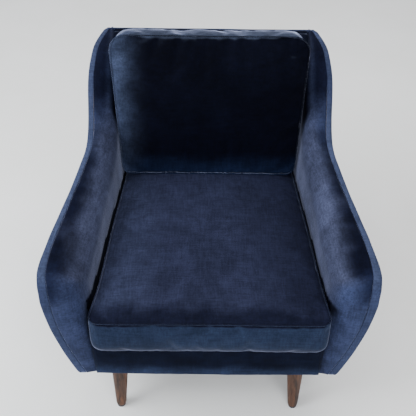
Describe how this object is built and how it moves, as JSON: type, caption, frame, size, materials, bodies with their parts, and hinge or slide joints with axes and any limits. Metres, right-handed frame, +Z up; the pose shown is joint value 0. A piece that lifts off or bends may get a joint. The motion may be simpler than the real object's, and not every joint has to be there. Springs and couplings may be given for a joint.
{
  "type": "upholstered armchair",
  "caption": "Upholstered lounge armchair with low swept arms, a loose seat cushion, a loose leaning back cushion and splayed tapered legs.",
  "frame": {"origin": "on the floor under the centre of the chair's bounding box", "axes": "+Z up, +Y towards the back of the chair, +X to the right of someone facing it"},
  "size_m": [0.8198, 0.857, 0.8516],
  "materials": {
    "velvet": "deep navy cut-pile velvet",
    "foam": "cream polyurethane foam",
    "fibre": "white hollow-fibre filling",
    "beech": "planed beech, unfinished",
    "walnut": "satin walnut-stained hardwood",
    "steel": "plain steel",
    "zip_metal": "dark plated zinc",
    "webbing": "woven elastic webbing",
    "cambric": "black spun cambric",
    "nylon": "moulded nylon"
  },
  "bodies": {
    "chair": {"outside_arm_cover_right": "velvet", "inside_arm_cover_right": "velvet", "arm_padding_right": "foam", "frame_side_rail_right": "beech", "arm_post_right": "beech", "wing_post_right": "beech", "arm_rail_right": "beech", "back_post_right": "beech", "outside_arm_cover_left": "velvet", "inside_arm_cover_left": "velvet", "arm_padding_left": "foam", "frame_side_rail_left": "beech", "arm_post_left": "beech", "wing_post_left": "beech", "arm_rail_left": "beech", "back_post_left": "beech", "inside_back_cover": "velvet", "outside_back_cover": "velvet", "front_rail_cover": "velvet", "back_padding": "foam", "deck_pad": "foam", "deck_cloth": "cambric", "dust_cover": "cambric", "leg_front_right": "walnut", "leg_plate_front_right": "steel", "glide_front_right": "nylon", "corner_block_front_right": "beech", "leg_front_left": "walnut", "leg_plate_front_left": "steel", "glide_front_left": "nylon", "corner_block_front_left": "beech", "leg_rear_right": "walnut", "leg_plate_rear_right": "steel", "glide_rear_right": "nylon", "corner_block_rear_right": "beech", "leg_rear_left": "walnut", "leg_plate_rear_left": "steel", "glide_rear_left": "nylon", "corner_block_rear_left": "beech", "frame_front_rail": "beech", "frame_rear_rail": "beech", "back_lower_rail": "beech", "back_top_rail": "beech", "seat_spring_1": "steel", "seat_spring_2": "steel", "seat_spring_3": "steel", "seat_spring_4": "steel", "seat_spring_5": "steel", "back_webbing_1": "webbing", "back_webbing_2": "webbing"},
    "seat_cushion": {"seat_cushion_cover": "velvet", "seat_cushion_core": "foam", "seat_zip_chain": "nylon"},
    "seat_zip_slider": {"seat_zip_slider": "zip_metal"},
    "back_cushion": {"back_cushion_cover": "velvet", "back_cushion_core": "fibre", "back_zip_chain": "nylon"},
    "back_zip_slider": {"back_zip_slider": "zip_metal"}
  },
  "joints": [
    {"name": "seat_cushion_out", "type": "slide", "parent": "chair", "child": "seat_cushion", "axis": [0, -1, 0], "range_m": [0, 0.68]},
    {"name": "back_cushion_out", "type": "slide", "parent": "chair", "child": "back_cushion", "axis": [0, 0.2589, 0.9659], "range_m": [0, 0.42]},
    {"name": "seat_zip_run", "type": "slide", "parent": "seat_cushion", "child": "seat_zip_slider", "axis": [1, 0, 0], "range_m": [-0.19, 0.19]},
    {"name": "back_zip_run", "type": "slide", "parent": "back_cushion", "child": "back_zip_slider", "axis": [1, 0, 0], "range_m": [-0.19, 0.19]}
  ]
}
